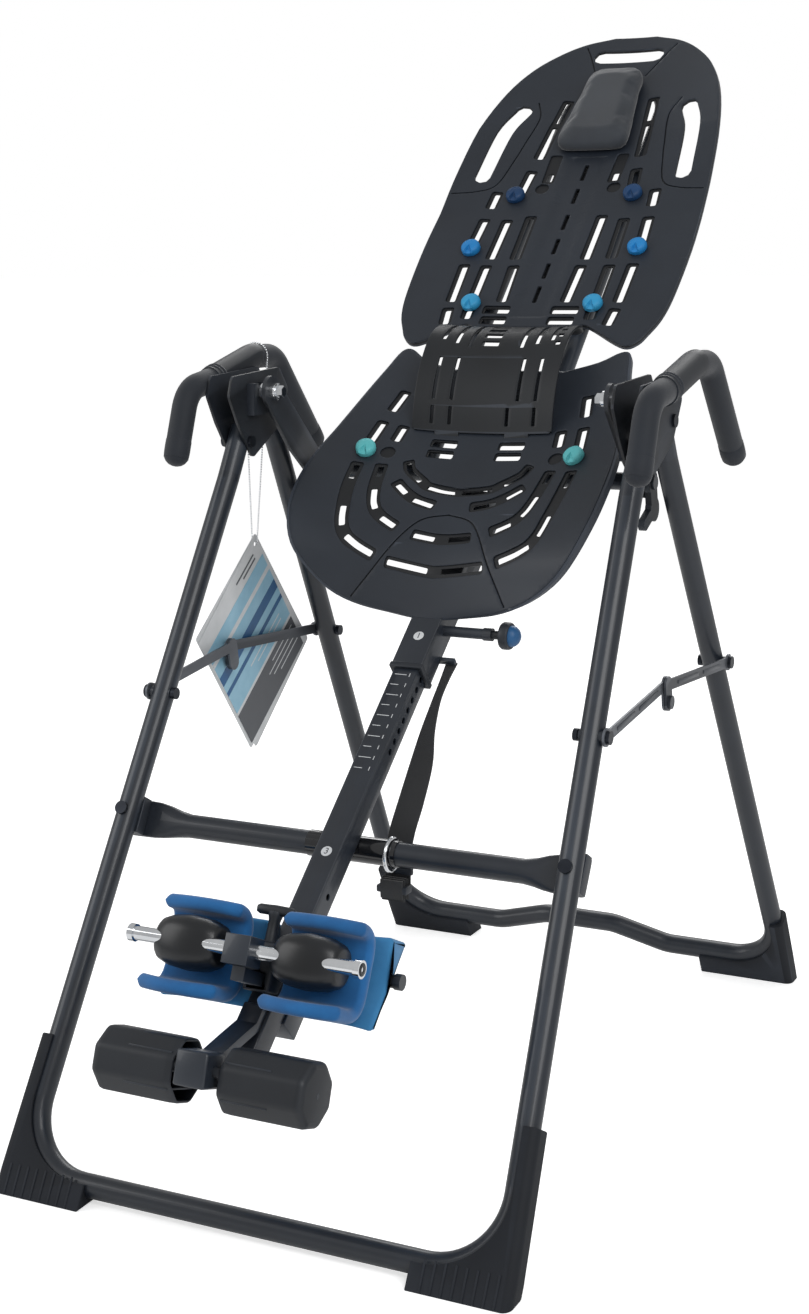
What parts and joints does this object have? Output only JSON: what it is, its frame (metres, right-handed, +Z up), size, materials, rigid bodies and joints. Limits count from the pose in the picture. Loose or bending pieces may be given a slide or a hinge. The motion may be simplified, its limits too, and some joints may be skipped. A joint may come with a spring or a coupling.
{
  "type": "inversion table",
  "caption": "Folding A-frame inversion table with dished bed, ankle clamp, adjustable shaft and foot platform.",
  "frame": {"origin": "on the floor under the middle of the object's overall box", "axes": "+Z up, +X to the right seen from the foot end, +Y towards the head end"},
  "size_m": [0.726, 1.4687, 1.5224],
  "materials": {
    "frame_paint": "satin",
    "dark_steel": "satin",
    "arm_steel": "satin",
    "chrome": "polished",
    "black_plastic": "satin",
    "shell_plastic": "matte",
    "gloss_black": "gloss",
    "rubber": "matte",
    "foam": "matte",
    "blue_foam": "matte",
    "light_blue_foam": "matte",
    "node_blue": "satin",
    "knob_plastic": "satin",
    "pillow_fabric": "matte",
    "webbing": "matte",
    "card": "satin"
  },
  "bodies": {
    "stand": {"front_frame": "frame_paint", "front_foot_left": "rubber", "front_foot_right": "rubber", "crossbar": "frame_paint", "crossbar_saddles": "black_plastic", "crossbar_sleeve": "gloss_black", "tether_ring": "chrome", "hinge_plate_left": "dark_steel", "hinge_plate_right": "dark_steel", "hinge_cover_left": "black_plastic", "hinge_cover_right": "black_plastic", "pivot_seats": "black_plastic", "stand_bolts": "dark_steel", "handle_bar_left": "frame_paint", "handle_bar_right": "frame_paint", "foam_grips_left": "foam", "foam_grips_right": "foam", "handle_cover_left": "black_plastic", "handle_cover_right": "black_plastic"},
    "rear_stand": {"rear_frame": "frame_paint", "rear_foot_left": "rubber", "rear_foot_right": "rubber", "rear_bolts": "dark_steel"},
    "front_spreader_left": {"front_arm_left": "arm_steel"},
    "front_spreader_right": {"front_arm_right": "arm_steel"},
    "rear_spreader_left": {"rear_arm_left": "arm_steel"},
    "rear_spreader_right": {"rear_arm_right": "arm_steel"},
    "table": {"bed_frame": "frame_paint", "bed_cross_bar": "frame_paint", "pivot_arm_left": "dark_steel", "pivot_arm_right": "dark_steel", "pivot_pins": "chrome", "shaft_sleeve": "frame_paint", "sleeve_bushing": "black_plastic", "height_pin_housing": "black_plastic", "backrest": "shell_plastic", "seat": "shell_plastic", "lumbar_bridge": "shell_plastic", "head_pillow": "pillow_fabric", "pressure_nodes": "node_blue", "tether_strap": "webbing"},
    "height_lock": {"height_pin": "chrome", "height_pin_knob": "knob_plastic"},
    "lock_left": {"hinge_lock_left": "black_plastic"},
    "lock_right": {"hinge_lock_right": "black_plastic"},
    "shaft": {"main_shaft": "frame_paint", "heel_bracket": "frame_paint", "heel_rod": "chrome", "heel_cup": "light_blue_foam", "ankle_lock_housing": "black_plastic", "platform_arm": "frame_paint", "platform_hub": "frame_paint"},
    "ankle_slider": {"ankle_carriage": "frame_paint", "ankle_rod": "chrome", "ankle_shells": "black_plastic", "ankle_cups": "blue_foam"},
    "ankle_lock": {"ankle_pin": "black_plastic"},
    "foot_platform": {"foot_pads": "black_plastic"},
    "tag": {"hang_tag": "card", "tag_chain": "chrome"}
  },
  "joints": [
    {"name": "rear_fold", "type": "hinge", "parent": "stand", "child": "rear_stand", "pos_m": [0, 0, 0.958], "axis": [-1, 0, 0], "range_deg": [0, 46]},
    {"name": "front_spreader_left_turn", "type": "hinge", "parent": "stand", "child": "front_spreader_left", "pos_m": [-0.3355, -0.276, 0.589], "axis": [1, 0, 0], "range_deg": [0, 71]},
    {"name": "front_spreader_right_turn", "type": "hinge", "parent": "stand", "child": "front_spreader_right", "pos_m": [0.3355, -0.276, 0.589], "axis": [1, 0, 0], "range_deg": [0, 71]},
    {"name": "rear_spreader_left_turn", "type": "hinge", "parent": "rear_stand", "child": "rear_spreader_left", "pos_m": [-0.3395, 0.208, 0.593], "axis": [-1, 0, 0], "range_deg": [0, 25]},
    {"name": "rear_spreader_right_turn", "type": "hinge", "parent": "rear_stand", "child": "rear_spreader_right", "pos_m": [0.3395, 0.208, 0.593], "axis": [-1, 0, 0], "range_deg": [0, 25]},
    {"name": "table_pivot", "type": "hinge", "parent": "stand", "child": "table", "pos_m": [0, -0.06, 0.988], "axis": [-1, 0, 0], "range_deg": [0, 138], "deforming": ["tether_strap"]},
    {"name": "shaft_slide", "type": "slide", "parent": "table", "child": "shaft", "axis": [0, 0.7712, 0.6366], "range_m": [0, 0.1593]},
    {"name": "height_pin_pull", "type": "slide", "parent": "table", "child": "height_lock", "axis": [1, 0, 0], "range_m": [0, 0.0135], "stiffness_N_per_m": 900, "springref_m": -0.004},
    {"name": "hinge_lock_left_turn", "type": "hinge", "parent": "table", "child": "lock_left", "pos_m": [-0.2665, 0.07, 0.866], "axis": [1, 0, 0], "range_deg": [0, 40], "stiffness_Nm_per_rad": 0.4, "springref_deg": -8.59},
    {"name": "hinge_lock_right_turn", "type": "hinge", "parent": "table", "child": "lock_right", "pos_m": [0.2665, 0.07, 0.866], "axis": [1, 0, 0], "range_deg": [0, 40], "stiffness_Nm_per_rad": 0.4, "springref_deg": -8.59},
    {"name": "ankle_slide", "type": "slide", "parent": "shaft", "child": "ankle_slider", "axis": [0, -0.8991, 0.4377], "range_m": [0, 0.055]},
    {"name": "ankle_pin_pull", "type": "slide", "parent": "shaft", "child": "ankle_lock", "axis": [0, 0.4377, 0.8991], "range_m": [0, 0.012], "stiffness_N_per_m": 900, "springref_m": -0.004},
    {"name": "platform_turn", "type": "hinge", "parent": "shaft", "child": "foot_platform", "pos_m": [0, -0.708, 0.258], "axis": [1, 0, 0], "range_deg": [0, 180]},
    {"name": "tag_swing", "type": "hinge", "parent": "stand", "child": "tag", "pos_m": [-0.34, 0.04, 1.031], "axis": [0, 1, 0], "range_deg": [0, 30]}
  ],
  "couplings": [
    {"joint": "front_spreader_left_turn", "follows": "rear_fold", "ratio": 1.5326},
    {"joint": "front_spreader_right_turn", "follows": "rear_fold", "ratio": 1.5326},
    {"joint": "rear_spreader_left_turn", "follows": "rear_fold", "ratio": 0.5261},
    {"joint": "rear_spreader_right_turn", "follows": "rear_fold", "ratio": 0.5261}
  ]
}
